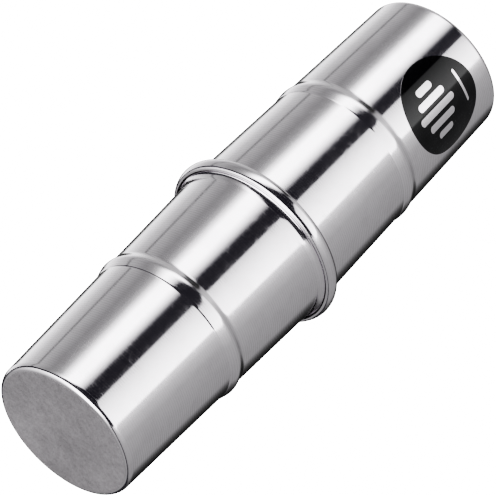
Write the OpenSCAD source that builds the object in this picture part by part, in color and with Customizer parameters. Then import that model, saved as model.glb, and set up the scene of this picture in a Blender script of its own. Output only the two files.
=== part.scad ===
// Tube shaker: two drawn aluminium cups seamed mouth to mouth around loose steel shot.
// It stands on the flat end of the bottom cup. The axis of the tube is Z, and the badge faces -Y.

/* [Tube] */
// Length from flat end to flat end
tube_length = 171.6; // [120:0.2:220]
// Outer diameter of both cups at the seam
mouth_d = 50; // [48:0.5:60]
// Outer diameter of both cups at their flat ends
end_d = 45; // [42:0.5:48]
// Thickness of the drawn aluminium
wall = 0.8; // [0.6:0.05:1]
// Outer radius where the side turns into a flat end
end_round = 2; // [1.5:0.1:3]

/* [Pressed beads] */
// Distance from the seam to the crest of the top cup's bead
top_bead_at = 39.8; // [30:0.2:44]
// Distance from the seam to the crest of the bottom cup's bead
bottom_bead_at = 41.2; // [30:0.2:44]
// How far the top cup's bead stands out
top_bead_h = 0.8; // [0.3:0.05:1.2]
// How far the bottom cup's bead stands out
bottom_bead_h = 0.5; // [0.3:0.05:1.2]
// Length of a bead's soft side, from its crest down towards the bottom end
bead_soft = 3.3; // [2:0.1:4]
// Length of a bead's crisp side, from its crest up to the step that ends it
bead_crisp = 2.7; // [2:0.1:3]

/* [Seam] */
// How far the seam stands out from the cups
seam_out = 2.8; // [2.6:0.05:3]
// Half the height of the hook that the bottom cup's mouth is rolled into
hook_up = 2.25; // [2.1:0.05:2.4]
// Half the depth of the hook, measured across the tube
hook_out = 1.45; // [1.4:0.05:1.5]
// Radius of the flare that leads the top cup's side out into the hook
flare_r = 2.9; // [2.6:0.05:3]
// Gap between the top cup's skirt and the floor of the hook
seam_gap = 0.05; // [0.03:0.01:0.1]

/* [Badge] */
// Radius of the round badge, measured along the tube
badge_r = 14.4; // [10:0.1:16]
// Distance from the seam to the middle of the badge
badge_at = 63.5; // [60:0.5:66]
// Thickness of the badge's film
film = 0.12; // [0.1:0.01:0.3]
// Width of each upright window in the badge
window_w = 2.3; // [1.5:0.1:2.6]
// Distance from one upright window to the next, along the film
window_pitch = 3.6; // [3:0.1:4]

/* [Shot] */
// Diameter of one steel ball
ball_d = 4.5; // [3:0.1:4.5]
// Distance between the middles of neighbouring balls
ball_pitch = 4.6; // [4.55:0.01:4.7]
// Clearance under the balls, and over them when they are thrown to the top
ball_gap = 0.3; // [0.2:0.05:0.5]

/* [Hidden] */

$fn = 96;
half = tube_length / 2;            // length of one cup, from the seam to its flat end
mouth_r = mouth_d / 2;
end_r = end_d / 2;
side_len = half - end_round;       // tapered stretch of one cup

hook_at = mouth_r + seam_out - hook_out; // radius of the middle of the hook's oval
hook_z = 0.15;                           // height of that middle above the seam plane
tip_r = hook_at - 0.05;                  // the hook's edge stops at this radius
lining_out = hook_out - wall;            // half depth and half height of the hook's inner face
lining_up = hook_up - wall;
ledge = lining_up - hook_z;              // distance from the seam to the floor of the hook
root_r = 0.45;                           // fillet under the hook

flare_z = 4.4;                           // height above the seam at which the top cup starts to flare
flare_turn = 45;                         // how far the flare turns outwards before it bends down
bend_r = 0.6;                            // bend from the flare into the skirt
flare_x = side_r(flare_z) + flare_r;     // the flare's arc is drawn about this radius
skirt_r = flare_x - (flare_r + bend_r) * cos(flare_turn) + bend_r;
skirt_z = seam_gap - ledge;              // the skirt stands just off the floor of the hook

bead_step = 0.5;                   // length of the step at a bead's crisp side
bead_lean = 0.34;                  // share of its height that a bead loses per mm on the way to the step
crest_r = 0.6;                     // distance over which the crest rounds into that slope
bead_steps = 7;                    // straight steps that each stretch of a bead is drawn with
arc_steps = 8;
oval_steps = 16;

window_lengths = [7, 12, 16, 12, 7];
middle_window = (len(window_lengths) - 1) / 2;
windows_up = 2.5;                  // the upright windows sit this far above the badge's middle
rule_w = 11;                       // long window under the upright ones
rule_h = 1.1;
rule_down = 9.6;
badge_steps = 72;
badge_tube_r = side_r(badge_at);   // radius of the tube at the badge's middle
badge_reach = badge_r + end_round; // the film's ring reaches this far each way before it is cut round

core_rings = 1;                    // rings of balls in the middle group
outer_rings = 4;                   // rings of balls in the whole layer
sectors = 6;
ball_z = wall + ball_gap + ball_d / 2;

metal = [0.80, 0.81, 0.83];
steel = [0.60, 0.61, 0.63];
black = [0.03, 0.03, 0.035];

// Outer radius of a cup's plain side at a distance s from the seam
function side_r(s) = mouth_r - (mouth_r - end_r) * s / side_len;

// Share of its height that is left of a bead past its crest, before the step
function crest_share(d) = 1 - bead_lean * (sqrt(d * d + crest_r * crest_r) - crest_r);

// Share that is left on the step, which starts at bead_crisp
function step_share(d) = d < bead_crisp ? 1 : (1 + cos(180 * (d - bead_crisp) / bead_step)) / 2;

// How far a bead stands out, at a distance d from its crest towards the top end
function bead_rise(d, h) =
    h * (d < 0 ? (1 + cos(180 * d / bead_soft)) / 2 : crest_share(d) * step_share(d));

// Distances from a bead's crest at which its profile has a point
bead_stops = concat(
    [for (i = [0:bead_steps - 1]) bead_soft * (i / bead_steps - 1)],
    [for (i = [0:bead_steps - 1]) bead_crisp * i / bead_steps],
    [for (i = [0:bead_steps]) bead_crisp + bead_step * i / bead_steps]
);

// Points on a circle's arc from angle a0 to angle a1
function arc(x, y, r, a0, a1) =
    [for (i = [0:arc_steps]) let (a = a0 + (a1 - a0) * i / arc_steps)
        [x + r * cos(a), y + r * sin(a)]];

// Points on the hook's outer or inner oval, drawn downwards from the seam plane
function oval(out, up, a0, a1) =
    [for (i = [0:oval_steps]) let (a = a0 + (a1 - a0) * i / oval_steps)
        [hook_at + out * cos(a), -hook_z - up * sin(a)]];

function reversed(list) = [for (i = [len(list) - 1:-1:0]) list[i]];

// One face of a cup, from a distance s0 from the seam to the middle of its end.
// The bead's crisp side looks away from the seam where crisp is 1, and towards it where crisp is -1.
// sunk is 0 for the outside and wall for the inside.
function cup_face(s0, at, h, crisp, sunk) =
    let (stops = crisp > 0 ? bead_stops : reversed(bead_stops))
    concat(
        [[side_r(s0) - sunk, s0]],
        [for (d = stops) let (s = at + crisp * d) [side_r(s) + bead_rise(d, h) - sunk, s]],
        [[side_r(side_len) - sunk, side_len]],
        arc(end_r - end_round, side_len, end_round - sunk, 0, 90),
        [[0, half - sunk]]
    );

// Profile of the top cup, drawn upwards from the seam plane: skirt, bend, flare and side
module top_cup_profile() {
    bend_z = flare_z - (flare_r + bend_r) * sin(flare_turn);
    inner_turn = acos((flare_x - skirt_r + wall) / (flare_r + wall));
    outside = concat(
        [[skirt_r, skirt_z]],
        arc(skirt_r - bend_r, bend_z, bend_r, 0, flare_turn),
        reversed(arc(flare_x, flare_z, flare_r, 180, 180 + flare_turn)),
        cup_face(flare_z + bend_r, top_bead_at, top_bead_h, 1, 0)
    );
    inside = concat(
        [[skirt_r - wall, skirt_z]],
        reversed(arc(flare_x, flare_z, flare_r + wall, 180, 180 + inner_turn)),
        cup_face(flare_z + bend_r, top_bead_at, top_bead_h, 1, wall)
    );
    polygon(concat(outside, reversed(inside)));
}

// Profile of the bottom cup, drawn upwards from the seam plane although the cup hangs below it
module bottom_cup_profile() {
    root_z = hook_up - hook_z + root_r;    // distance from the seam to the end of the fillet
    outside = concat(
        oval(hook_out, hook_up, acos((tip_r - hook_at) / hook_out), -90),
        reversed(arc(side_r(root_z) + root_r, root_z, root_r, 180, 270)),
        cup_face(root_z + bend_r, bottom_bead_at, bottom_bead_h, -1, 0)
    );
    inside = concat(
        oval(lining_out, lining_up, acos((tip_r - hook_at) / lining_out), -90),
        cup_face(ledge, bottom_bead_at, bottom_bead_h, -1, wall)
    );
    polygon(concat(outside, reversed(inside)));
}

module top_cup() {
    color(metal)
        translate([0, 0, half])
            rotate_extrude() top_cup_profile();
}

module bottom_cup() {
    color(metal)
        translate([0, 0, half])
            mirror([0, 0, 1])
                rotate_extrude() bottom_cup_profile();
}

// Distance across the tube of a point that is u along its skin from the badge's middle
function across(u) = badge_tube_r * sin(u / badge_tube_r * 180 / PI);

module slot(w, h) {
    square([w, h - w], center = true);
    for (end = [-1, 1]) translate([0, end * (h - w) / 2]) circle(w / 2);
}

// Outline of the badge as it is seen from the front, with its windows cut out
module badge_outline() {
    difference() {
        polygon([for (i = [1:badge_steps])
            let (a = 360 * i / badge_steps) [across(badge_r * cos(a)), badge_r * sin(a)]]);
        for (i = [0:len(window_lengths) - 1])
            translate([across(window_pitch * (i - middle_window)), windows_up])
                slot(window_w, window_lengths[i]);
        translate([0, -rule_down]) rotate(90) slot(rule_h, rule_w);
    }
}

// Black film, wrapped round the front of the bottom cup between its bead and its end
module badge() {
    s0 = badge_at - badge_reach;
    s1 = badge_at + badge_reach;
    color(black)
        intersection() {
            translate([0, 0, half]) mirror([0, 0, 1]) rotate_extrude()
                polygon([[side_r(s0), s0], [side_r(s0) + film, s0],
                         [side_r(s1) + film, s1], [side_r(s1), s1]]);
            translate([0, 0, half - badge_at]) rotate([90, 0, 0])
                linear_extrude(mouth_d) badge_outline();
        }
}

module ball(x, y) {
    translate([x, y, ball_z]) sphere(d = ball_d);
}

// The balls of one sixth of a ring: ring k has k balls in each sixth
module ring_balls(k, sector) {
    turn = sector * 360 / sectors;
    for (j = [0:k - 1]) {
        x = ball_pitch * (k * cos(turn) + j * cos(turn + 120));
        y = ball_pitch * (k * sin(turn) + j * sin(turn + 120));
        ball(x, y);
    }
}

// Middle of the layer of shot: one ball and the ring around it
module shot_core() {
    color(steel) {
        ball(0, 0);
        for (k = [1:core_rings], sector = [0:sectors - 1]) ring_balls(k, sector);
    }
}

// One sixth of the rings outside the core
module shot_sector(number) {
    color(steel)
        for (k = [core_rings + 1:outer_rings]) ring_balls(k, number - 1);
}

top_cup();
bottom_cup();
badge();
shot_core();
shot_sector(1);  // shot_sector_1
shot_sector(2);  // shot_sector_2
shot_sector(3);  // shot_sector_3
shot_sector(4);  // shot_sector_4
shot_sector(5);  // shot_sector_5
shot_sector(6);  // shot_sector_6
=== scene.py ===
# %% [markdown]
# # A polished tube shaker
#
# This shaker is two tapered aluminium cups, seamed mouth to mouth round a handful of steel shot. The model comes from
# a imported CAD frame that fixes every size. Here its thin sheet metal is spun again as finer meshes, and each surface
# gets the finish it has on the real shaker: mirror-polished sides, satin ends, a gloss black badge and bright shot.

# %% Load the frame
import math

import bmesh
import bpy
from mathutils import Matrix, Vector


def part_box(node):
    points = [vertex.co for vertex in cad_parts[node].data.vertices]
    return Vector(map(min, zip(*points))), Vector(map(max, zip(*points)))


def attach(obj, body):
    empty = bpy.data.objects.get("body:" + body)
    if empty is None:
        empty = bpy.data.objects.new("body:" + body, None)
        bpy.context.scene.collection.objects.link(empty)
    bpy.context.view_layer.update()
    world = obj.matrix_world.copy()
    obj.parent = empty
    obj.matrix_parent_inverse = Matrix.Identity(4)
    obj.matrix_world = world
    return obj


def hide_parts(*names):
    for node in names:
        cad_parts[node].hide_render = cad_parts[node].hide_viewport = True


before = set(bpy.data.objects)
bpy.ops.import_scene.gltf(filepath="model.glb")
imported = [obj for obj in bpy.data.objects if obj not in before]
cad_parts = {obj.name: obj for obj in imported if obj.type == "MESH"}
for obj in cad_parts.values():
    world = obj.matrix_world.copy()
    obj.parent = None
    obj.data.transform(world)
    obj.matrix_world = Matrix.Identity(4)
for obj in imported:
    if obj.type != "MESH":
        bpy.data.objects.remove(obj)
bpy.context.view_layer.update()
scene = bpy.context.scene
MM = 0.001

# %% [markdown]
# ## The sizes
#
# A spun part is described by its profile, so a few radii and heights say everything. They are the same driving sizes
# as in the CAD model, in metres. Distances along a cup are measured from the seam, because both cups are made from
# the mouth inwards.

# %% Name the sizes of a cup
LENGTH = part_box("top_cup")[1].z
HALF = LENGTH / 2
MOUTH_R = 25.0 * MM
END_R = 22.5 * MM
WALL = 0.8 * MM
END_ROUND = 2.0 * MM
SIDE_LENGTH = HALF - END_ROUND

# The polishing wheel reaches this many degrees round the end's rounded edge. From there on the metal is satin.
SATIN_FROM = 76

print("each cup is", round(HALF / MM, 2), "mm deep and loses", round((MOUTH_R - END_R) / MM, 2), "mm of radius")

# %% [markdown]
# Each bead is a crest with a soft side, which swells slowly, and a crisp side, which falls off steadily from the crest
# and ends in a small step. The two beads face opposite ways as seen from the seam, because both crisp sides look up.

# %% Name the sizes of the beads
# Crest's distance from the seam, height, and whether the crisp side looks away from the seam (1) or towards it (-1).
TOP_BEAD = (39.8 * MM, 0.8 * MM, 1)
BOTTOM_BEAD = (41.2 * MM, 0.5 * MM, -1)
BEAD_SOFT = 3.3 * MM
BEAD_CRISP = 2.7 * MM
BEAD_STEP = 0.5 * MM
BEAD_LEAN = 0.34 / MM
CREST_R = 0.6 * MM

print("beads stand out", round(TOP_BEAD[1] / MM, 2), "and", round(BOTTOM_BEAD[1] / MM, 2), "mm")

# %% [markdown]
# The seam is two shapes, one in the other. The bottom cup's mouth is rolled outwards and down into a hook, an oval in
# section. The top cup's mouth flares out over it, bends straight down again and ends as a short skirt in the hook.

# %% Name the sizes of the seam
HOOK_OUT = 1.45 * MM
HOOK_UP = 2.25 * MM
HOOK_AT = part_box("bottom_cup")[1].x - HOOK_OUT
HOOK_Z = 0.15 * MM
HOOK_TIP = HOOK_AT - 0.05 * MM
ROOT_R = 0.45 * MM
FLARE_R = 2.9 * MM
FLARE_Z = 4.4 * MM
FLARE_TURN = 45
BEND_R = 0.6 * MM
SKIRT_Z = -1.25 * MM

print("length", round(LENGTH / MM, 2), "mm; hook rolled round radius", round(HOOK_AT / MM, 2), "mm")

# %% [markdown]
# ## The camera
#
# A long lens far away keeps the two ends of the tube nearly the same size. The camera looks down on the shaker from a
# third of the way up, and it is rolled, so that the standing shaker lies along the diagonal with its top end at the
# lower left. Building the camera's own three directions first makes the roll one line of sines and cosines.

# %% Work out the camera's directions
CAMERA_AZIMUTH = math.radians(26)
CAMERA_ELEVATION = math.radians(31.5)
CAMERA_ROLL = math.radians(134.97)

back = Vector(
    (
        math.sin(CAMERA_AZIMUTH) * math.cos(CAMERA_ELEVATION),
        -math.cos(CAMERA_AZIMUTH) * math.cos(CAMERA_ELEVATION),
        math.sin(CAMERA_ELEVATION),
    )
)
level_up = (Vector((0, 0, 1)) - back * back.z).normalized()
level_right = level_up.cross(back)
right = level_right * math.cos(CAMERA_ROLL) - level_up * math.sin(CAMERA_ROLL)
up = level_right * math.sin(CAMERA_ROLL) + level_up * math.cos(CAMERA_ROLL)
print("camera looks along", [round(-v, 3) for v in back])

# %% Place the camera
CAMERA_DISTANCE = 1.17
LENS = 303.8
SEAM_RIGHT = 2.02 * MM
SEAM_UP = 1.82 * MM

camera_data = bpy.data.cameras.new("camera")
camera_data.sensor_width = 36
camera_data.lens = LENS
camera_data.clip_end = 20
camera = bpy.data.objects.new("camera", camera_data)
scene.collection.objects.link(camera)
aim = Vector((0, 0, HALF)) - right * SEAM_RIGHT - up * SEAM_UP
facing = Matrix((right, up, back)).transposed().to_4x4()
camera.matrix_world = Matrix.Translation(aim + back * CAMERA_DISTANCE) @ facing
scene.camera = camera
print("camera at", [round(v, 3) for v in camera.matrix_world.translation])

# %% [markdown]
# ## The light tent
#
# Polished metal has almost no colour of its own: it shows the room. So a polished piece is lit from inside a tent of
# white and grey panels, with a dark gap for the lens. Here the world is that tent, drawn round the compass with colour
# ramps: the foot, the standing panels, the tops where they stop, the dark room above them, and the lit ceiling over
# that. Angles are in degrees, counted from the camera and positive towards the badge. A world is better than lamps
# here, because every reflection on the metal then has soft edges that can be placed one by one.

# %% List the tent's brightness round the compass
BRIGHTEST = 4.0
DARK = (0.030, 0.028, 0.036)
PANELS = [
    (-180, 0.03), (-154, 0.03), (-151, 1.1), (-146, 1.5), (-132, 1.0), (-120, 0.62), (-107, 0.46), (-105, 0.2),
    (-103, 0.2), (-101, 0.44), (-90, 0.35), (-78, 0.25), (-68, 0.30), (-61, 0.5), (-55, 1.4), (-48, 3.2),
    (-35, 3.2), (-30, 2.5), (0, 0.85), (6, 1.2), (16, 1.7), (28, 2.2), (43.5, 2.7), (46, 0.9), (56, 0.55), (72, 0.37),
    (98, 0.31), (128, 0.27), (138, 0.12), (147, 0.05), (160, 0.02), (180, 0.02),
]
FOOT = [
    (-180, 0.04), (-150, 0.5), (-90, 0.46), (-55, 0.6), (-47, 0.08), (-15, 0.03), (-8, 0.4), (20, 0.7),
    (60, 0.42), (100, 0.28), (125, 0.06), (180, 0.03),
]
CEILING = [
    (-180, 0.30), (-150, 0.34), (-135, 0.62), (-100, 1.3), (-80, 2.6), (-40, 3.6), (20, 3.0), (50, 1.2),
    (75, 0.55), (110, 0.36), (150, 0.26), (180, 0.30),
]
print("tent:", len(PANELS), "stops round the panels and", len(CEILING), "round the ceiling")

# %% List the heights where the panels stop and the ceiling starts
PANEL_TOPS = [
    (-180, -6), (-150, 3), (-120, 5), (-104, 8), (-90, 16), (-68, 21), (-56, 18), (-48, 9), (0, 8), (41, 9),
    (47, 43), (70, 48), (95, 43), (112, 34), (126, 22), (140, 2), (180, -12),
]
CEILING_EDGE = [
    (-180, 6), (-150, 14), (-120, 20), (-104, 25), (-90, 33), (-68, 38), (-30, 42), (-12, 47), (30, 49),
    (60, 60), (90, 56), (110, 46), (126, 35), (144, 16), (180, 4),
]
print("panels stop between", min(h for _, h in PANEL_TOPS), "and", max(h for _, h in PANEL_TOPS), "degrees up")

# %% [markdown]
# Node trees are easier to read when each node is one call. These helpers add a node, set its numbers and link its
# inputs, and return the output that the next node needs. The ramps store a height as a fraction too, because a colour
# ramp holds only colours from 0 to 1.

# %% Write the helpers for ramps and masks


def math_node(tree, operation, *values):
    """One Math node; a value is a number or another node's output."""
    node = tree.nodes.new("ShaderNodeMath")
    node.operation = operation
    for socket, value in zip(node.inputs, values):
        if isinstance(value, (int, float)):
            socket.default_value = value
        else:
            tree.links.new(value, socket)
    return node.outputs[0]


def compass_ramp(tree, fraction, stops, low, high):
    """A colour ramp round the compass, from stops of (angle, value), as a fraction between low and high."""
    ramp = tree.nodes.new("ShaderNodeValToRGB")
    elements = ramp.color_ramp.elements
    for index, (angle, value) in enumerate(stops):
        where = (angle + 180) / 360
        element = elements[index] if index < 2 else elements.new(where)
        element.position = where
        level = (value - low) / (high - low)
        element.color = (level, level, level, 1)
    tree.links.new(fraction, ramp.inputs["Fac"])
    return ramp.outputs["Color"]


def brightness_ramp(tree, fraction, stops):
    return compass_ramp(tree, fraction, stops, 0, BRIGHTEST)


def height_ramp(tree, fraction, stops):
    """A ramp whose values are heights above the horizon, turned back into radians."""
    ramp = compass_ramp(tree, fraction, stops, -90, 90)
    return math_node(tree, "MULTIPLY_ADD", ramp, math.pi, -math.pi / 2)


def smooth_step(tree, value, low, high):
    """A Map Range node that goes smoothly from 0 at low to 1 at high."""
    node = tree.nodes.new("ShaderNodeMapRange")
    node.interpolation_type = "SMOOTHSTEP"
    node.inputs["From Min"].default_value = low
    node.inputs["From Max"].default_value = high
    tree.links.new(value, node.inputs["Value"])
    return node.outputs["Result"]


def degree_step(tree, angle, low, high):
    """A smooth step on an angle in radians, with its two ends in degrees."""
    return smooth_step(tree, angle, math.radians(low), math.radians(high))


def mix_colours(tree, factor, first, second):
    """A colour Mix node; a colour is four numbers or another node's output."""
    node = tree.nodes.new("ShaderNodeMix")
    node.data_type = "RGBA"
    tree.links.new(factor, node.inputs["Factor"])
    for socket, value in ((node.inputs[6], first), (node.inputs[7], second)):
        if isinstance(value, tuple):
            socket.default_value = value
        else:
            tree.links.new(value, socket)
    return node.outputs[2]


# %% [markdown]
# A world's Generated coordinate is the direction that a ray leaves in. Turned so that the camera is at angle zero, its
# compass angle comes from the two level parts and its height from the upright one.

# %% Find each direction's compass angle and height
world = bpy.data.worlds.new("light_tent")
scene.world = world
world.use_nodes = True
tent = world.node_tree
tent.nodes.clear()

direction = tent.nodes.new("ShaderNodeTexCoord").outputs["Generated"]
turn = tent.nodes.new("ShaderNodeVectorRotate")
turn.rotation_type = "Z_AXIS"
turn.inputs["Angle"].default_value = -CAMERA_AZIMUTH
tent.links.new(direction, turn.inputs["Vector"])
split = tent.nodes.new("ShaderNodeSeparateXYZ")
tent.links.new(turn.outputs["Vector"], split.inputs["Vector"])
towards_badge = math_node(tent, "MULTIPLY", split.outputs["X"], -1.0)
towards_camera = math_node(tent, "MULTIPLY", split.outputs["Y"], -1.0)
compass = math_node(tent, "ARCTAN2", towards_badge, towards_camera)
fraction = math_node(tent, "MULTIPLY_ADD", compass, 0.5 / math.pi, 0.5)
height = math_node(tent, "ARCSINE", split.outputs["Z"])
print("tent: directions take", len(tent.nodes), "nodes")

# %% [markdown]
# The gap for the lens makes the long dark stripe down the shaker. It starts low and its two edges lean outwards as they
# rise, the left one softly and the right one sharply, because one panel hangs closer to the metal than the other.

# %% Cut the gap for the lens
GAP_FOOT = -31
GAP_LEFT_LEAN, GAP_LEFT_EDGE = 0.40, (-32.5, -15)
GAP_RIGHT_LEAN, GAP_RIGHT_EDGE = -0.22, (0.4, 2.6)

rise = math_node(tent, "MAXIMUM", math_node(tent, "SUBTRACT", height, math.radians(GAP_FOOT)), 0.0)
past_left = degree_step(tent, math_node(tent, "MULTIPLY_ADD", rise, GAP_LEFT_LEAN, compass), *GAP_LEFT_EDGE)
past_right = degree_step(tent, math_node(tent, "MULTIPLY_ADD", rise, GAP_RIGHT_LEAN, compass), *GAP_RIGHT_EDGE)
gap = math_node(tent, "MULTIPLY", past_left, math_node(tent, "SUBTRACT", 1.0, past_right))
print("gap for the lens: about", GAP_RIGHT_EDGE[0] - GAP_LEFT_EDGE[1], "degrees wide at its foot")

# %% [markdown]
# The tent is stacked from the bottom up: each layer covers the one below it where the height passes its edge.

# %% Stack the foot, the panels, the dark room and the ceiling
FOOT_EDGE = (-62, -40)
TOPS_EDGE = (-3, 2)
LIT_EDGE = (-2, 3)

dark = (*[level / BRIGHTEST for level in DARK], 1)
panels = mix_colours(tent, gap, brightness_ramp(tent, fraction, PANELS), dark)
off_foot = degree_step(tent, height, *FOOT_EDGE)
standing = mix_colours(tent, off_foot, brightness_ramp(tent, fraction, FOOT), panels)
over_panels = math_node(tent, "SUBTRACT", height, height_ramp(tent, fraction, PANEL_TOPS))
room = mix_colours(tent, degree_step(tent, over_panels, *TOPS_EDGE), standing, dark)
over_room = math_node(tent, "SUBTRACT", height, height_ramp(tent, fraction, CEILING_EDGE))
lit = degree_step(tent, over_room, *LIT_EDGE)
tent_colour = mix_colours(tent, lit, room, brightness_ramp(tent, fraction, CEILING))
print("tent: stacked with", len(tent.nodes), "nodes")

# %% [markdown]
# What stands behind the shaker should be plain white, so camera rays see an even white and only reflections see the
# tent. The high-contrast look deepens the darks, as hard studio light does on metal.

# %% Light the world
tent_light = tent.nodes.new("ShaderNodeBackground")
tent_light.inputs["Strength"].default_value = BRIGHTEST
tent.links.new(tent_colour, tent_light.inputs["Color"])
plain_light = tent.nodes.new("ShaderNodeBackground")
plain_light.inputs["Strength"].default_value = BRIGHTEST
plain_light.inputs["Color"].default_value = (1, 1, 1, 1)
seen = tent.nodes.new("ShaderNodeLightPath").outputs["Is Camera Ray"]
either = tent.nodes.new("ShaderNodeMixShader")
tent.links.new(seen, either.inputs["Fac"])
tent.links.new(tent_light.outputs["Background"], either.inputs[1])
tent.links.new(plain_light.outputs["Background"], either.inputs[2])
tent_out = tent.nodes.new("ShaderNodeOutputWorld")
tent.links.new(either.outputs["Shader"], tent_out.inputs["Surface"])
scene.view_settings.look = "AgX - High Contrast"
print("world:", world.name, "with the look", scene.view_settings.look)

# %% [markdown]
# ## The floor
#
# The shaker stands on a pale, evenly lit floor. The metal would otherwise mirror it, so the floor is kept out of
# glossy reflections: that is the trick of standing a bottle on clear acrylic over the tent. It lies a hair under the
# shaker, so that the two faces don't fight for the same place.

# %% Lay the floor
FLOOR_HALF = 3.0
FLOOR_Z = -0.1 * MM
FLOOR_GREY = 0.9
FLOOR_GLOW = 5.0

floor_mesh = bpy.data.meshes.new("floor")
corners = [(x * FLOOR_HALF, y * FLOOR_HALF, FLOOR_Z) for x, y in ((-1, -1), (1, -1), (1, 1), (-1, 1))]
floor_mesh.from_pydata(corners, [], [(0, 1, 2, 3)])
floor = bpy.data.objects.new("floor", floor_mesh)
scene.collection.objects.link(floor)
floor.visible_glossy = False

floor_paint = bpy.data.materials.new("floor_paint")
floor_paint.use_nodes = True
paint = floor_paint.node_tree.nodes["Principled BSDF"]
paint.inputs["Base Color"].default_value = (FLOOR_GREY, FLOOR_GREY, FLOOR_GREY, 1)
paint.inputs["Roughness"].default_value = 0.9
paint.inputs["Emission Color"].default_value = (1, 1, 1, 1)
paint.inputs["Emission Strength"].default_value = FLOOR_GLOW
floor_mesh.materials.append(floor_paint)
print("floor:", 2 * FLOOR_HALF, "m square")

# %% [markdown]
# ## The cups
#
# On the real shaker each cup is drawn from a disc of aluminium, tapered a little so that it leaves its die, and a
# bead is rolled into its side to stiffen it and to stop the hand from slipping. A lathe is the natural tool: a list
# of profile points is spun round the axis. The points are close together where the metal bends, because a mirror
# shows every corner of the mesh. A subdivision surface would be less work, but it would round off the crisp steps.

# %% Write the curves of the side and its bead


def arc(x, y, radius, start, end, steps):
    """Points on a circle's arc, angles in degrees."""
    angles = [math.radians(start + (end - start) * i / steps) for i in range(steps + 1)]
    return [(x + radius * math.cos(a), y + radius * math.sin(a)) for a in angles]


def side_radius(s):
    """Outer radius of a cup's plain side at a distance s from the seam."""
    return MOUTH_R - (MOUTH_R - END_R) * s / SIDE_LENGTH


def bead_rise(s, bead):
    """How far a bead stands out at a distance s from the seam."""
    crest, height, crisp = bead
    d = crisp * (s - crest)
    if not -BEAD_SOFT < d < BEAD_CRISP + BEAD_STEP:
        return 0.0
    if d < 0:
        return height * (0.5 + 0.5 * math.cos(math.pi * d / BEAD_SOFT))
    crest_share = 1 - BEAD_LEAN * (math.hypot(d, CREST_R) - CREST_R)
    step_share = 0.5 + 0.5 * math.cos(math.pi * max(0.0, d - BEAD_CRISP) / BEAD_STEP)
    return height * crest_share * step_share


for bead in (TOP_BEAD, BOTTOM_BEAD):
    print("radius over a crest:", round((side_radius(bead[0]) + bead_rise(bead[0], bead)) / MM, 2), "mm")

# %% [markdown]
# The side's points are crowded over the bead and sparse on the plain taper. One extra point just inside each end of a
# stretch keeps the shading of the plain side from leaking into the bend next to it.

# %% Write the face of the side and the end
PLAIN_STEPS, SOFT_STEPS, CRISP_STEPS, STEP_STEPS = 12, 24, 16, 10
DISC_RINGS = 10
GUARD = 0.15 * MM


def side_stops(start, bead):
    """Distances from the seam at which the side needs a point, closest together over the bead."""
    crest, _, crisp = bead
    over = [-BEAD_SOFT - GUARD] + [BEAD_SOFT * (i / SOFT_STEPS - 1) for i in range(SOFT_STEPS)]
    over += [BEAD_CRISP * i / CRISP_STEPS for i in range(CRISP_STEPS)]
    over += [BEAD_CRISP + BEAD_STEP * i / STEP_STEPS for i in range(STEP_STEPS + 1)]
    over += [BEAD_CRISP + BEAD_STEP + GUARD]
    stops = [crest + crisp * d for d in over]
    low, high = min(stops), max(stops)
    stops += [start + (low - start) * i / PLAIN_STEPS for i in range(PLAIN_STEPS)]
    stops += [high + (SIDE_LENGTH - high) * i / PLAIN_STEPS for i in range(1, PLAIN_STEPS + 1)]
    return sorted(stops + [start + GUARD, SIDE_LENGTH - GUARD])


def side_face(start, bead, sunk=0.0):
    """The side from the seam towards the end; sunk is the sheet's thickness for its inner face."""
    return [(side_radius(s) + bead_rise(s, bead) - sunk, s) for s in side_stops(start, bead)]


def end_corner(sunk=0.0, start=0, end=90, steps=16):
    """The rounded edge between the side and the flat end, or the part of it between two angles."""
    return arc(END_R - END_ROUND, SIDE_LENGTH, END_ROUND - sunk, start, end, steps)[1:]


def end_disc(sunk=0.0):
    """Points across a flat end, from its rim to its middle."""
    rim = END_R - END_ROUND
    return [(rim * (1 - i / DISC_RINGS), HALF - sunk) for i in range(1, DISC_RINGS + 1)]


print("side of the top cup:", len(side_stops(FLARE_Z, TOP_BEAD)), "points")

# %% [markdown]
# A profile runs once round the sheet: from the middle of the end, down the outside to the mouth, round the lip and back
# up the inside. It is kept in three parts, satin, polished and drawn, and each part becomes the faces of one finish.

# %% Draw the top cup's profile


def satin_part():
    """The flat end and the edge round it, up to where the polishing wheel reaches."""
    return list(reversed(end_corner(start=SATIN_FROM, steps=5) + end_disc()))


def polished_side(start, bead):
    """The outside from the satin down to start; the last point belongs to the curve that goes on from there."""
    return list(reversed(side_face(start, bead) + end_corner(end=SATIN_FROM, steps=12)))[:-1]


def inside_face(start, bead):
    """The drawn inside of the side, its corner and its end."""
    return side_face(start, bead, WALL) + end_corner(WALL) + end_disc(WALL)


def top_profile():
    """The top cup, whose side flares out, bends down and ends as a skirt in the hook."""
    flare_x = side_radius(FLARE_Z) + FLARE_R
    turn = math.radians(FLARE_TURN)
    bend_x = flare_x - (FLARE_R + BEND_R) * math.cos(turn)
    bend_z = FLARE_Z - (FLARE_R + BEND_R) * math.sin(turn)
    skirt_r = bend_x + BEND_R
    inner_turn = math.degrees(math.acos((flare_x - skirt_r + WALL) / (FLARE_R + WALL)))
    flare = arc(flare_x, FLARE_Z, FLARE_R, 180, 180 + FLARE_TURN, 24)
    bend = arc(bend_x, bend_z, BEND_R, FLARE_TURN, 0, 8)[1:]
    foot = arc(skirt_r - WALL / 2, SKIRT_Z + WALL / 2, WALL / 2, 0, -180, 8)
    inside = arc(flare_x, FLARE_Z, FLARE_R + WALL, 180 + inner_turn, 180, 12)[:-1]
    return {
        "satin": satin_part(),
        "polished": polished_side(FLARE_Z, TOP_BEAD) + flare + bend,
        "drawn": foot + inside + inside_face(FLARE_Z, TOP_BEAD),
    }


print("top cup:", {finish: len(points) for finish, points in top_profile().items()}, "points")

# %% Draw the bottom cup's profile


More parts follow.
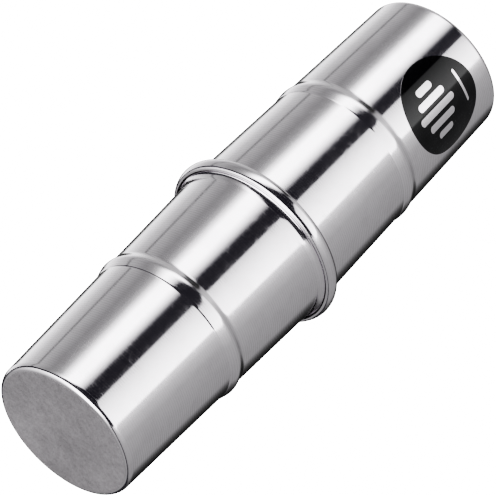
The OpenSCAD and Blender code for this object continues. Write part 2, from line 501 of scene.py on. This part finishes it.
def oval(radius_out, radius_up, start, end, steps):
    """Points on the hook's oval, angles in degrees."""
    angles = [math.radians(start + (end - start) * i / steps) for i in range(steps + 1)]
    return [(HOOK_AT + radius_out * math.cos(a), -(HOOK_Z + radius_up * math.sin(a))) for a in angles]


def bottom_profile():
    """The bottom cup, drawn upwards from the seam as well, whose mouth is rolled into the hook."""
    root_z = HOOK_UP - HOOK_Z + ROOT_R
    lining_out, lining_up = HOOK_OUT - WALL, HOOK_UP - WALL
    tip_angle = math.degrees(math.acos((HOOK_TIP - HOOK_AT) / HOOK_OUT))
    tip_in = math.degrees(math.acos((HOOK_TIP - HOOK_AT) / lining_out))
    root = arc(side_radius(root_z) + ROOT_R, root_z, ROOT_R, 180, 270, 8)
    hook = oval(HOOK_OUT, HOOK_UP, -90, tip_angle, 64)
    lining = oval(lining_out, lining_up, tip_in, -90, 24)
    return {
        "satin": satin_part(),
        "polished": polished_side(root_z, BOTTOM_BEAD) + root + hook,
        "drawn": lining + inside_face(lining[-1][1], BOTTOM_BEAD),
    }


print("bottom cup:", {finish: len(points) for finish, points in bottom_profile().items()}, "points")

# %% [markdown]
# Spinning makes one ring of corners for each profile point and joins neighbouring rings with faces. A point on the axis
# makes one corner, and the faces round it are triangles. Smooth shading with sharp edges over 40 degrees keeps the
# curves even and the lips crisp.

# %% Write the lathe
SPIN_STEPS = 160
FINISHES = ["polished", "satin", "drawn"]
ON_AXIS = 0.001 * MM
CUP_SHARP = math.radians(40)


def lathe(name, parts, flip):
    """Spins the profile's parts, which join end to end; flip hangs the cup below the seam."""
    mesh = bpy.data.meshes.new(name)
    bm = bmesh.new()
    turns = [2 * math.pi * i / SPIN_STEPS for i in range(SPIN_STEPS)]
    rings, finishes = [], []
    for finish, points in parts.items():
        for radius, s in points:
            z = HALF - s if flip else HALF + s
            if radius < ON_AXIS:
                ring = [bm.verts.new((0, 0, z))]
            else:
                ring = [bm.verts.new((radius * math.cos(a), radius * math.sin(a), z)) for a in turns]
            rings.append(ring)
            finishes.append(FINISHES.index(finish))
    for index, (first, second) in enumerate(zip(rings, rings[1:])):
        for i in range(SPIN_STEPS):
            j = (i + 1) % SPIN_STEPS
            loop = [first[i % len(first)], first[j % len(first)], second[j % len(second)], second[i % len(second)]]
            face = bm.faces.new(list(dict.fromkeys(loop)))
            face.material_index = finishes[index]
            face.smooth = True
    bmesh.ops.recalc_face_normals(bm, faces=bm.faces)
    bm.to_mesh(mesh)
    bm.free()
    mesh.set_sharp_from_angle(angle=CUP_SHARP)
    piece = bpy.data.objects.new(name, mesh)
    scene.collection.objects.link(piece)
    return piece


print("lathe: a ring every", 360 / SPIN_STEPS, "degrees")

# %% Spin both cups
top_cup = lathe("top_cup_polished", top_profile(), flip=False)
bottom_cup = lathe("bottom_cup_polished", bottom_profile(), flip=True)
for cup, node in ((top_cup, "top_cup"), (bottom_cup, "bottom_cup")):
    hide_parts(node)
    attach(cup, "tube")
    print(cup.name, len(cup.data.polygons), "faces")

# %% [markdown]
# ## The badge
#
# The badge is a thin black film with windows that leave the metal bare. It is drawn flat, as it was cut, then sliced
# into narrow upright strips and wrapped round the cup, so that it bends as evenly as the metal under it. Cutting the
# windows out of a curved film with a Boolean would also work, but it leaves long thin triangles that catch the light.

# %% Name the badge's sizes
BADGE_R = 14.4 * MM
BADGE_AT = 63.5 * MM
FILM = 0.12 * MM
WINDOW_WIDTH = 2.3 * MM
WINDOW_PITCH = 3.6 * MM
WINDOW_HEIGHTS = [7 * MM, 12 * MM, 16 * MM, 12 * MM, 7 * MM]
WINDOWS_UP = 2.5 * MM
RULE_WIDTH, RULE_HEIGHT, RULE_UP = 11 * MM, 1.1 * MM, -9.6 * MM
RIM_POINTS = 128
STRIP = 0.45 * MM
print("badge:", round(2 * BADGE_R / MM, 1), "mm across, with", len(WINDOW_HEIGHTS) + 1, "windows")

# %% Draw the badge flat


def slot_outline(x, y, width, height, steps=14):
    """A window with round ends, upright or lying."""
    r = min(width, height) / 2
    if height > width:
        reach = (height - width) / 2
        return arc(x, y + reach, r, 0, 180, steps) + arc(x, y - reach, r, 180, 360, steps)
    reach = (width - height) / 2
    return arc(x + reach, y, r, -90, 90, steps) + arc(x - reach, y, r, 90, 270, steps)


def badge_outlines():
    """The round rim, the upright windows and the lying one under them."""
    outlines = [arc(0, 0, BADGE_R, 0, 360 - 360 / RIM_POINTS, RIM_POINTS - 1)]
    middle = len(WINDOW_HEIGHTS) // 2
    for index, height in enumerate(WINDOW_HEIGHTS):
        outlines.append(slot_outline((index - middle) * WINDOW_PITCH, WINDOWS_UP, WINDOW_WIDTH, height))
    outlines.append(slot_outline(0, RULE_UP, RULE_WIDTH, RULE_HEIGHT))
    return outlines


def flat_film(outlines):
    """Fills the outlines, less their windows, and slices the film into narrow strips."""
    bm = bmesh.new()
    for outline in outlines:
        verts = [bm.verts.new((x, y, 0)) for x, y in outline]
        for i in range(len(verts)):
            bm.edges.new((verts[i - 1], verts[i]))
    bmesh.ops.triangle_fill(bm, edges=bm.edges, use_beauty=True, use_dissolve=False, normal=(0, 0, 1))
    cuts = int(2 * BADGE_R / STRIP)
    for i in range(1, cuts):
        place = Vector((-BADGE_R + 2 * BADGE_R * i / cuts, 0, 0))
        everything = bm.verts[:] + bm.edges[:] + bm.faces[:]
        bmesh.ops.bisect_plane(bm, geom=everything, plane_co=place, plane_no=(1, 0, 0))
    return bm


badge_bm = flat_film(badge_outlines())
print("flat film:", len(badge_bm.faces), "faces in", int(2 * BADGE_R / STRIP), "strips")

# %% [markdown]
# The flat film gets a back, a copy of its front turned over, and a narrow wall all round the rim and each window. Then
# every corner's place across the film becomes an angle round the cup, and its place up the film a height.

# %% Wrap the badge round the cup
FILM_SHARP = math.radians(30)


def thicken(bm):
    """Adds the back and the walls, and returns the corners of the back."""
    bmesh.ops.recalc_face_normals(bm, faces=bm.faces)
    if sum(face.normal.z for face in bm.faces) < 0:
        bmesh.ops.reverse_faces(bm, faces=bm.faces)
    copied = bmesh.ops.duplicate(bm, geom=bm.verts[:] + bm.edges[:] + bm.faces[:])
    back_faces = [g for g in copied["geom"] if isinstance(g, bmesh.types.BMFace)]
    back_verts = {g for g in copied["geom"] if isinstance(g, bmesh.types.BMVert)}
    bmesh.ops.reverse_faces(bm, faces=back_faces)
    behind = copied["vert_map"]
    rim = [edge for edge in bm.edges if edge.is_boundary and edge.verts[0] not in back_verts]
    for edge in rim:
        loop = edge.link_loops[0]
        a, b = loop.vert, loop.link_loop_next.vert
        bm.faces.new((b, a, behind[a], behind[b]))
    return back_verts


def wrap(bm, back_verts):
    """Bends the film round the front of the bottom cup, with its back on the metal."""
    middle_r = side_radius(BADGE_AT)
    for vert in bm.verts:
        across, along, _ = vert.co
        s = BADGE_AT - along
        radius = side_radius(s) + (0 if vert in back_verts else FILM)
        angle = across / middle_r
        vert.co = (radius * math.sin(angle), -radius * math.cos(angle), HALF - s)


wrap(badge_bm, thicken(badge_bm))
badge_mesh = bpy.data.meshes.new("badge_film")
badge_bm.to_mesh(badge_mesh)
badge_bm.free()
badge_mesh.shade_smooth()
badge_mesh.set_sharp_from_angle(angle=FILM_SHARP)
badge = bpy.data.objects.new("badge_film", badge_mesh)
scene.collection.objects.link(badge)
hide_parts("badge")
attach(badge, "tube")
print("badge film", len(badge_mesh.polygons), "faces")

# %% [markdown]
# ## Surface effects shared by the finishes
#
# A few small marks of making and use turn up on several parts, so each is written once as a node group that gives a
# mask from 0 to 1. A group has named knobs, so that each finish can set its own scale, and it never holds a shader:
# the shader stays in the material, where its constant values are easy to find.

# %% Start the node groups


def add(tree, kind, inputs=None, **settings):
    """Adds a node; inputs maps a socket's name to a number, a tuple or another node's output."""
    node = tree.nodes.new("ShaderNode" + kind)
    for name, value in settings.items():
        setattr(node, name, value)
    for name, value in (inputs or {}).items():
        if isinstance(value, bpy.types.NodeSocket):
            tree.links.new(value, node.inputs[name])
        else:
            node.inputs[name].default_value = value
    return node


def start_group(name, knobs, output):
    """A new group with float inputs, given as {name: usual value}, and one float output."""
    tree = bpy.data.node_groups.new(name, "ShaderNodeTree")
    for knob, usual in knobs.items():
        socket = tree.interface.new_socket(name=knob, in_out="INPUT", socket_type="NodeSocketFloat")
        socket.default_value = usual
    tree.interface.new_socket(name=output, in_out="OUTPUT", socket_type="NodeSocketFloat")
    return tree, tree.nodes.new("NodeGroupInput"), tree.nodes.new("NodeGroupOutput")


def object_place(tree):
    """The place on the shaker in metres, the same for every piece, since all of them sit at the origin."""
    return add(tree, "TexCoord").outputs["Object"]


def stretched_place(tree, across, along):
    """That place, scaled differently across the cup and along its axis."""
    parts = add(tree, "SeparateXYZ", {"Vector": object_place(tree)})
    scaled = [math_node(tree, "MULTIPLY", parts.outputs[axis], across) for axis in "XY"]
    scaled.append(math_node(tree, "MULTIPLY", parts.outputs["Z"], along))
    return add(tree, "CombineXYZ", {"X": scaled[0], "Y": scaled[1], "Z": scaled[2]}).outputs["Vector"]


def noise_mask(tree, knobs, place, detail, roughness):
    """Noise at a scaled place, spread so that the knobs From and To become 0 and 1."""
    noise = add(tree, "TexNoise", {"Vector": place, "Scale": 1.0, "Detail": detail, "Roughness": roughness})
    spread = {"Value": noise.outputs["Fac"], "From Min": knobs.outputs["From"], "From Max": knobs.outputs["To"]}
    return add(tree, "MapRange", spread).outputs["Result"]


print("materials so far:", [material.name for material in bpy.data.materials])

# %% [markdown]
# A polishing wheel leaves fine rings while the cup turns. They are noise stretched round the cup: it changes quickly
# along the axis and slowly across it.

# %% Group: polishing rings
ring_knobs = {"Rings per metre": 1600.0, "Wander": 25.0, "From": 0.35, "To": 0.7}
rings_group, knobs, result = start_group("polishing_rings", ring_knobs, "Rings")
place = stretched_place(rings_group, knobs.outputs["Wander"], knobs.outputs["Rings per metre"])
rings_group.links.new(noise_mask(rings_group, knobs, place, 3.0, 0.6), result.inputs["Rings"])
print("group:", rings_group.name, list(ring_knobs))

# %% [markdown]
# Where the cup or the wheel trembles a little, it leaves an even row of ribs as well. They are a sine wave up the cup,
# and a slow noise shifts them, so that they don't look ruled.

# %% Group: wheel ribs
rib_knobs = {"Ribs per metre": 1250.0, "Wander": 5.0}
DRIFT_SCALE = 60.0

ribs_group, knobs, result = start_group("wheel_ribs", rib_knobs, "Ribs")
place = object_place(ribs_group)
up_the_cup = add(ribs_group, "SeparateXYZ", {"Vector": place}).outputs["Z"]
count = math_node(ribs_group, "MULTIPLY", up_the_cup, knobs.outputs["Ribs per metre"])
drift = add(ribs_group, "TexNoise", {"Vector": place, "Scale": DRIFT_SCALE, "Detail": 2.0}).outputs["Fac"]
drift = math_node(ribs_group, "MULTIPLY", drift, knobs.outputs["Wander"])
wave = math_node(ribs_group, "SINE", math_node(ribs_group, "MULTIPLY_ADD", count, 2 * math.pi, drift))
ribs_group.links.new(math_node(ribs_group, "MULTIPLY_ADD", wave, 0.5, 0.5), result.inputs["Ribs"])
print("group:", ribs_group.name, list(rib_knobs))

# %% [markdown]
# Hands, wiping and etching leave soft blotches. The same group makes big clouds, fine grain or the balls' knocks, by
# its scale alone.

# %% Group: blotches
blotch_knobs = {"Per metre": 90.0, "From": 0.4, "To": 0.65}
blotch_group, knobs, result = start_group("blotches", blotch_knobs, "Blotches")
place = stretched_place(blotch_group, knobs.outputs["Per metre"], knobs.outputs["Per metre"])
blotch_group.links.new(noise_mask(blotch_group, knobs, place, 4.0, 0.62), result.inputs["Blotches"])
print("group:", blotch_group.name, list(blotch_knobs))

# %% [markdown]
# A hairline scratch is where a stretched noise passes its middle value: that gives long thin lines. A second noise
# breaks them into short ones, and three directions are laid over each other.

# %% Group: hairline scratches
scratch_knobs = {"Per metre": 260.0, "Thickness": 0.03}
SCRATCH_TILTS = (0.5, -0.9, 1.35)
ALONG_SCRATCH = 18.0
SCRATCH_BREAKS = (0.56, 0.64)

scratch_group, knobs, result = start_group("hairline_scratches", scratch_knobs, "Scratches")
place = object_place(scratch_group)
layers = []
for tilt in SCRATCH_TILTS:
    turned = add(scratch_group, "VectorRotate", {"Vector": place, "Angle": tilt}, rotation_type="X_AXIS")
    parts = add(scratch_group, "SeparateXYZ", {"Vector": turned.outputs["Vector"]})
    fine = math_node(scratch_group, "MULTIPLY", parts.outputs["Z"], knobs.outputs["Per metre"])
    slow = [math_node(scratch_group, "MULTIPLY", parts.outputs[axis], ALONG_SCRATCH) for axis in "XY"]
    line_place = add(scratch_group, "CombineXYZ", {"X": slow[0], "Y": slow[1], "Z": fine}).outputs["Vector"]
    noise = add(scratch_group, "TexNoise", {"Vector": line_place, "Scale": 1.0, "Detail": 1.0}).outputs["Fac"]
    off_line = math_node(scratch_group, "ABSOLUTE", math_node(scratch_group, "SUBTRACT", noise, 0.5))
    thin = {"Value": off_line, "From Min": 0.0, "From Max": knobs.outputs["Thickness"], "To Min": 1.0, "To Max": 0.0}
    line = add(scratch_group, "MapRange", thin).outputs["Result"]
    breaks = {"Vector": place, "Scale": 210.0 + 40 * tilt, "Detail": 2.0}
    kept = smooth_step(scratch_group, add(scratch_group, "TexNoise", breaks).outputs["Fac"], *SCRATCH_BREAKS)
    layers.append(math_node(scratch_group, "MULTIPLY", line, kept))
both = math_node(scratch_group, "MAXIMUM", layers[0], layers[1])
scratch_group.links.new(math_node(scratch_group, "MAXIMUM", both, layers[2]), result.inputs["Scratches"])
print("group:", scratch_group.name, "in", len(layers), "directions")

# %% [markdown]
# Metal that stands proud wears first. Each point's distance from the axis, less the plain side's radius at its height,
# says how proud it is. The rounded edge of each end counts as proud too.

# %% Group: wear on proud metal
PROUD_WEAR = (0.3, 1.4)
EDGE_BEFORE, EDGE_AFTER = 0.5 * MM, 0.2 * MM

wear_group, knobs, result = start_group("proud_wear", {"Stands out": 0.0004}, "Wear")
parts = add(wear_group, "SeparateXYZ", {"Vector": object_place(wear_group)})
squares = [math_node(wear_group, "POWER", parts.outputs[axis], 2.0) for axis in "XY"]
from_axis = math_node(wear_group, "SQRT", math_node(wear_group, "ADD", *squares))
from_seam = math_node(wear_group, "ABSOLUTE", math_node(wear_group, "SUBTRACT", parts.outputs["Z"], HALF))
side_at = math_node(wear_group, "MULTIPLY_ADD", from_seam, -(MOUTH_R - END_R) / SIDE_LENGTH, MOUTH_R)
proud = math_node(wear_group, "SUBTRACT", from_axis, side_at)
share = math_node(wear_group, "DIVIDE", proud, knobs.outputs["Stands out"])
on_bead = smooth_step(wear_group, share, *PROUD_WEAR)
near_end = smooth_step(wear_group, from_seam, SIDE_LENGTH - EDGE_BEFORE, HALF - EDGE_AFTER)
wear_group.links.new(math_node(wear_group, "MAXIMUM", on_bead, near_end), result.inputs["Wear"])
print("node groups:", [group.name for group in bpy.data.node_groups])

# %% [markdown]
# ## The finishes
#
# Every finish is written the same way. Constant values go straight on the shader. Masks from the groups are added up
# into a roughness, mix two close tones into a colour, and stack as bumps into a normal. The bumps are given as depths
# in metres, as a gauge would measure them: a polished face is true to a few millionths.

# %% Write the helpers for finishes


def start_finish(name, **shader_values):
    """A material whose Principled shader has these constant values."""
    material = bpy.data.materials.new(name)
    material.use_nodes = True
    tree = material.node_tree
    shader = tree.nodes["Principled BSDF"]
    for key, value in shader_values.items():
        shader.inputs[key.replace("_", " ")].default_value = value
    return material, tree, shader


def mask(tree, group, **knob_values):
    """Places a group in a material with its own knob values and returns its mask."""
    node = add(tree, "Group", node_tree=group)
    for key, value in knob_values.items():
        node.inputs[key.replace("_", " ")].default_value = value
    return node.outputs[0]


def weighted(tree, base, *terms):
    """base plus each mask times its weight."""
    total = base
    for source, weight in terms:
        total = math_node(tree, "MULTIPLY_ADD", source, weight, total)
    return total


def toned(tree, factor, first, second):
    """A colour between two tones."""
    return mix_colours(tree, factor, (*first, 1), (*second, 1))


def bumped(tree, *layers):
    """A normal with each mask raised by its depth, one on top of the other."""
    normal = None
    for source, depth in layers:
        inputs = {"Height": source, "Distance": depth, "Strength": 1.0}
        if normal is not None:
            inputs["Normal"] = normal
        normal = add(tree, "Bump", inputs).outputs["Normal"]
    return normal


def finish_with(tree, shader, roughness, colour, normal):
    """Links the three things that every finish varies over the surface."""
    tree.links.new(roughness, shader.inputs["Roughness"])
    tree.links.new(colour, shader.inputs["Base Color"])
    tree.links.new(normal, shader.inputs["Normal"])


print("groups ready for the finishes:", len(bpy.data.node_groups))

# %% [markdown]
# The sides are polished on a wheel to a soft mirror. Pure metal would give black darks, but on real wheel-polished
# metal the ribs scatter a thin veil of light over them. A rough coat stands in for that veil: it is there only on the
# ribs, through Coat Weight, and the metal under it stays sharp.

# %% Finish: mirror polish
polished, tree, shader = start_finish("mirror_polish", Metallic=1.0, Coat_Roughness=0.3, Coat_IOR=2.2)
rings = mask(tree, rings_group, Rings_per_metre=2600.0, Wander=14.0)
ribs = mask(tree, ribs_group)
haze = mask(tree, blotch_group, Per_metre=150.0, From=0.45, To=0.7)
dents = mask(tree, blotch_group, Per_metre=45.0, From=0.2, To=0.8)
scratches = mask(tree, scratch_group)
wear = mask(tree, wear_group)
tree.links.new(ribs, shader.inputs["Coat Weight"])
finish_with(
    tree,
    shader,
    weighted(tree, 0.03, (rings, 0.06), (ribs, 0.05), (haze, 0.04), (scratches, 0.08), (wear, 0.02)),
    toned(tree, haze, (0.91, 0.878, 0.92), (0.85, 0.815, 0.855)),
    bumped(tree, (dents, 0.000006), (rings, 0.0000003), (scratches, -0.000001)),
)
print("finish:", polished.name, "with", len(tree.nodes), "nodes")

# %% [markdown]
# The flat ends are etched after they are faced, so the turning shows only as a cloudy grain. Three sizes of blotch,
# added up, give the colour: a cloud, a mottle and a grain.

# %% Finish: satin metal
satin, tree, shader = start_finish("satin_metal", Metallic=1.0)
cloud = mask(tree, blotch_group, Per_metre=55.0, From=0.3, To=0.7)
mottle = mask(tree, blotch_group, Per_metre=600.0, From=0.3, To=0.7)
grain = mask(tree, blotch_group, Per_metre=2400.0, From=0.3, To=0.7)
scratches = mask(tree, scratch_group, Per_metre=330.0)
etched = weighted(tree, 0.0, (cloud, 0.4), (mottle, 0.35), (grain, 0.25))
finish_with(
    tree,
    shader,
    weighted(tree, 0.28, (cloud, 0.08), (grain, 0.1), (scratches, -0.08)),
    toned(tree, etched, (0.50, 0.475, 0.50), (1.0, 0.96, 1.0)),
    bumped(tree, (mottle, 0.00003), (grain, 0.00001)),
)
print("finish:", satin.name, "with", len(tree.nodes), "nodes")

# %% [markdown]
# The inside is left as it was drawn, with marks that run along the cup, and the shot that rubs along it greys it in
# patches. It shows only when the model is cut open.

# %% Finish: drawn metal
drawn, tree, shader = start_finish("drawn_metal", Metallic=1.0)
rings = mask(tree, rings_group, Rings_per_metre=60.0, Wander=900.0)
rubbed = mask(tree, blotch_group, Per_metre=200.0)
finish_with(
    tree,
    shader,
    weighted(tree, 0.28, (rings, 0.1), (rubbed, 0.1)),
    toned(tree, rubbed, (0.8, 0.8, 0.81), (0.62, 0.62, 0.63)),
    bumped(tree, (rings, 0.000004)),
)
print("finish:", drawn.name, "with", len(tree.nodes), "nodes")

# %% [markdown]
# The badge is gloss black: no metal, a smooth clear face, the faintest ripple from the metal under it, and a few marks
# from wiping.

# %% Finish: gloss black
film, tree, shader = start_finish("gloss_black", IOR=1.47)
wiped = mask(tree, blotch_group, Per_metre=260.0, From=0.45, To=0.7)
ripple = mask(tree, blotch_group, Per_metre=420.0, From=0.2, To=0.8)
scratches = mask(tree, scratch_group, Per_metre=420.0, Thickness=0.02)
finish_with(
    tree,
    shader,
    weighted(tree, 0.05, (wiped, 0.05), (scratches, 0.2)),
    toned(tree, wiped, (0.0015, 0.0015, 0.0018), (0.003, 0.003, 0.0034)),
    bumped(tree, (ripple, 0.000001)),
)
print("finish:", film.name, "with", len(tree.nodes), "nodes")

# %% [markdown]
# The shot is bright steel, dulled and dented where the balls knock together.

# %% Finish: knocked steel
shot, tree, shader = start_finish("knocked_steel", Metallic=1.0)
knocks = mask(tree, blotch_group, Per_metre=700.0, From=0.42, To=0.62)
finish_with(
    tree,
    shader,
    weighted(tree, 0.12, (knocks, 0.25)),
    toned(tree, knocks, (0.62, 0.62, 0.63), (0.40, 0.40, 0.41)),
    bumped(tree, (knocks, -0.000006)),
)
print("finish:", shot.name, "with", len(tree.nodes), "nodes")

# %% [markdown]
# The lathe numbered each cup's faces by finish, so the cups take their three materials in that order. The shot keeps
# its CAD shape, which is right as it is, and only gets the better material.

# %% Put the finishes on
by_finish = {"polished": polished, "satin": satin, "drawn": drawn}
for cup in (top_cup, bottom_cup):
    for finish in FINISHES:
        cup.data.materials.append(by_finish[finish])
badge_mesh.materials.append(film)
groups_of_shot = [node for name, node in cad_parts.items() if name.startswith("shot")]
for node in groups_of_shot:
    node.data.materials.clear()
    node.data.materials.append(shot)
print("finished: 2 cups, 1 badge and", len(groups_of_shot), "groups of shot")
